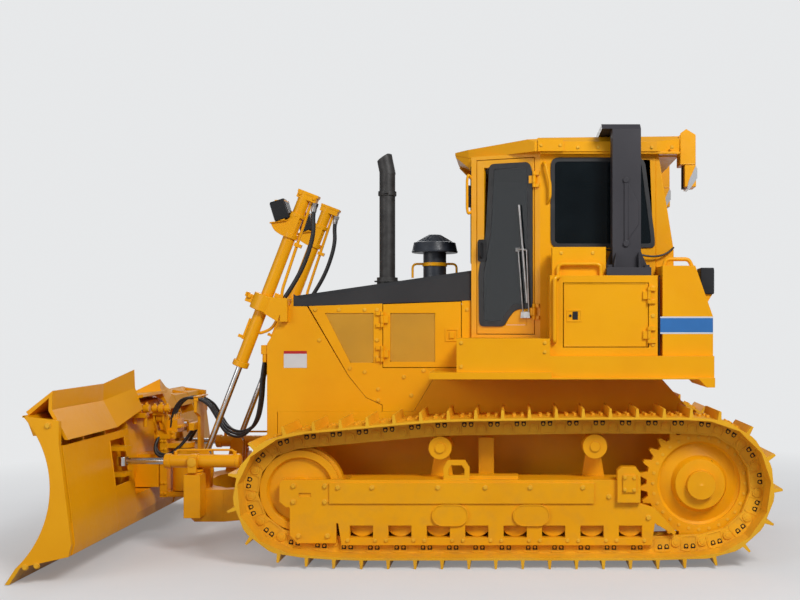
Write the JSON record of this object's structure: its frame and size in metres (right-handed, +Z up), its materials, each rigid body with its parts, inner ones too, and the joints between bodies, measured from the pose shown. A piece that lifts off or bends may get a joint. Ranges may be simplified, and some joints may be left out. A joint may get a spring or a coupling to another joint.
{
  "type": "crawler bulldozer with six-way blade",
  "caption": "Crawler bulldozer with an enclosed cab, steel tracks and a front blade that lifts, angles and tilts on hydraulic cylinders.",
  "frame": {"origin": "on the ground under the middle of the overall length and width", "axes": "+X forward towards the blade, +Y to the machine's left, +Z up"},
  "size_m": [5.572, 3.4, 3.381],
  "materials": {
    "frame_yellow": "satin",
    "body_yellow": "satin",
    "hood_grey": "satin",
    "exhaust_metal": "matte",
    "precleaner_black": "matte",
    "window_glass": "clear",
    "seat_black": "matte",
    "rops_grey": "satin",
    "track_yellow": "satin",
    "black_metal": "matte",
    "edge_steel": "satin",
    "rod_chrome": "polished"
  },
  "bodies": {
    "chassis": {"main_frame": "frame_yellow", "radiator_guard": "body_yellow", "engine_block": "frame_yellow", "hood": "hood_grey", "side_panels": "body_yellow", "exhaust_stack": "exhaust_metal", "precleaner": "precleaner_black", "cab_shell": "body_yellow", "cab_roof": "body_yellow", "cab_glass": "window_glass", "operator_seat": "seat_black", "rops_posts": "rops_grey", "rops_beam": "rops_grey", "fenders": "body_yellow", "service_boxes": "body_yellow", "rear_tank": "body_yellow", "track_frame_left": "frame_yellow", "track_frame_right": "frame_yellow", "track_rollers": "frame_yellow", "idlers": "frame_yellow", "sprockets": "frame_yellow", "track_left": "track_yellow", "track_right": "track_yellow", "suspension_bars": "frame_yellow", "drawbar": "frame_yellow", "handrails": "body_yellow", "work_lamps": "black_metal"},
    "push_frame": {"push_arms": "frame_yellow", "push_cross": "frame_yellow"},
    "blade_pivot": {"blade_pivot": "frame_yellow"},
    "blade": {"blade": "body_yellow", "cutting_edge": "edge_steel", "blade_guard": "body_yellow"},
    "lift_barrel_left": {"lift_barrel_left": "body_yellow"},
    "lift_rod_left": {"lift_rod_left": "rod_chrome"},
    "angle_yoke_left": {"angle_yoke_left": "frame_yellow"},
    "angle_barrel_left": {"angle_barrel_left": "body_yellow"},
    "angle_rod_left": {"angle_rod_left": "rod_chrome"},
    "engine_door_left": {"engine_door_left": "body_yellow"},
    "service_door_left": {"service_door_left": "body_yellow"},
    "cab_door_left": {"cab_door_left": "body_yellow", "door_glass_left": "window_glass"},
    "lift_barrel_right": {"lift_barrel_right": "body_yellow"},
    "lift_rod_right": {"lift_rod_right": "rod_chrome"},
    "angle_yoke_right": {"angle_yoke_right": "frame_yellow"},
    "angle_barrel_right": {"angle_barrel_right": "body_yellow"},
    "angle_rod_right": {"angle_rod_right": "rod_chrome"},
    "engine_door_right": {"engine_door_right": "body_yellow"},
    "service_door_right": {"service_door_right": "body_yellow"},
    "cab_door_right": {"cab_door_right": "body_yellow", "door_glass_right": "window_glass"},
    "tilt_barrel": {"tilt_barrel": "body_yellow"},
    "tilt_rod": {"tilt_rod": "rod_chrome"}
  },
  "joints": [
    {"name": "blade_lift", "type": "hinge", "parent": "chassis", "child": "push_frame", "pos_m": [-0.1, 0, 0.48], "axis": [0, -1, 0], "range_deg": [-9, 20]},
    {"name": "blade_angle", "type": "hinge", "parent": "push_frame", "child": "blade_pivot", "pos_m": [2.08, 0, 0.58], "axis": [0, 0, 1], "range_deg": [-22, 22]},
    {"name": "blade_tilt", "type": "hinge", "parent": "blade_pivot", "child": "blade", "pos_m": [2.235, 0, 0.58], "axis": [1, 0, 0], "range_deg": [-7, 7]},
    {"name": "lift_trunnion_left", "type": "hinge", "parent": "chassis", "child": "lift_barrel_left", "pos_m": [1.269, 0.494, 1.998], "axis": [0, -1, 0], "range_deg": [-3, 5.5]},
    {"name": "lift_stroke_left", "type": "slide", "parent": "lift_barrel_left", "child": "lift_rod_left", "axis": [0.3591, 0, -0.9333], "range_m": [-0.65, 0.295]},
    {"name": "angle_swing_left", "type": "hinge", "parent": "push_frame", "child": "angle_yoke_left", "pos_m": [1.765, 0.7, 0.74], "axis": [0, 0, 1], "range_deg": [-11, 11]},
    {"name": "angle_pitch_left", "type": "hinge", "parent": "angle_yoke_left", "child": "angle_barrel_left", "pos_m": [1.765, 0.7, 0.74], "axis": [0, -1, 0], "range_deg": [-9, 9]},
    {"name": "angle_stroke_left", "type": "slide", "parent": "angle_barrel_left", "child": "angle_rod_left", "axis": [1, 0, 0], "range_m": [-0.275, 0.275]},
    {"name": "engine_door_left", "type": "hinge", "parent": "chassis", "child": "engine_door_left", "pos_m": [0.296, 0.538, 1.7], "axis": [0, 0, -1], "range_deg": [0, 110]},
    {"name": "service_door_left", "type": "hinge", "parent": "chassis", "child": "service_door_left", "pos_m": [-1.801, 1.118, 1.9], "axis": [0, 0, 1], "range_deg": [0, 110]},
    {"name": "cab_door_left", "type": "hinge", "parent": "chassis", "child": "cab_door_left", "pos_m": [-0.93656, 0.75168, 2.4], "axis": [0, 0, 1], "range_deg": [0, 95]},
    {"name": "lift_trunnion_right", "type": "hinge", "parent": "chassis", "child": "lift_barrel_right", "pos_m": [1.269, -0.494, 1.998], "axis": [0, -1, 0], "range_deg": [-3, 5.5]},
    {"name": "lift_stroke_right", "type": "slide", "parent": "lift_barrel_right", "child": "lift_rod_right", "axis": [0.3591, 0, -0.9333], "range_m": [-0.65, 0.295]},
    {"name": "angle_swing_right", "type": "hinge", "parent": "push_frame", "child": "angle_yoke_right", "pos_m": [1.765, -0.7, 0.74], "axis": [0, 0, 1], "range_deg": [-11, 11]},
    {"name": "angle_pitch_right", "type": "hinge", "parent": "angle_yoke_right", "child": "angle_barrel_right", "pos_m": [1.765, -0.7, 0.74], "axis": [0, -1, 0], "range_deg": [-9, 9]},
    {"name": "angle_stroke_right", "type": "slide", "parent": "angle_barrel_right", "child": "angle_rod_right", "axis": [1, 0, 0], "range_m": [-0.275, 0.275]},
    {"name": "engine_door_right", "type": "hinge", "parent": "chassis", "child": "engine_door_right", "pos_m": [0.296, -0.538, 1.7], "axis": [0, 0, 1], "range_deg": [0, 110]},
    {"name": "service_door_right", "type": "hinge", "parent": "chassis", "child": "service_door_right", "pos_m": [-1.801, -1.118, 1.9], "axis": [0, 0, -1], "range_deg": [0, 110]},
    {"name": "cab_door_right", "type": "hinge", "parent": "chassis", "child": "cab_door_right", "pos_m": [-0.93656, -0.75168, 2.4], "axis": [0, 0, -1], "range_deg": [0, 95]},
    {"name": "tilt_swing", "type": "hinge", "parent": "blade_pivot", "child": "tilt_barrel", "pos_m": [2.235, 0.15, 1.04], "axis": [1, 0, 0], "range_deg": [-6, 6]},
    {"name": "tilt_stroke", "type": "slide", "parent": "tilt_barrel", "child": "tilt_rod", "axis": [0, -0.9762, -0.2169], "range_m": [-0.08, 0.08]}
  ],
  "couplings": [
    {"joint": "lift_trunnion_left", "follows": "blade_lift", "ratio": 0.2294},
    {"joint": "lift_stroke_left", "follows": "blade_lift", "m_per_rad": -1.8454},
    {"joint": "angle_swing_left", "follows": "blade_angle", "ratio": 0.469},
    {"joint": "angle_pitch_left", "follows": "blade_tilt", "ratio": 1.207},
    {"joint": "angle_stroke_left", "follows": "blade_angle", "m_per_rad": -0.6971},
    {"joint": "lift_trunnion_right", "follows": "blade_lift", "ratio": 0.2294},
    {"joint": "lift_stroke_right", "follows": "blade_lift", "m_per_rad": -1.8454},
    {"joint": "angle_swing_right", "follows": "blade_angle", "ratio": 0.469},
    {"joint": "angle_pitch_right", "follows": "blade_tilt", "ratio": -1.207},
    {"joint": "angle_stroke_right", "follows": "blade_angle", "m_per_rad": 0.6971},
    {"joint": "tilt_swing", "follows": "blade_tilt", "ratio": 0.6191},
    {"joint": "tilt_stroke", "follows": "blade_tilt", "m_per_rad": 0.4163}
  ]
}
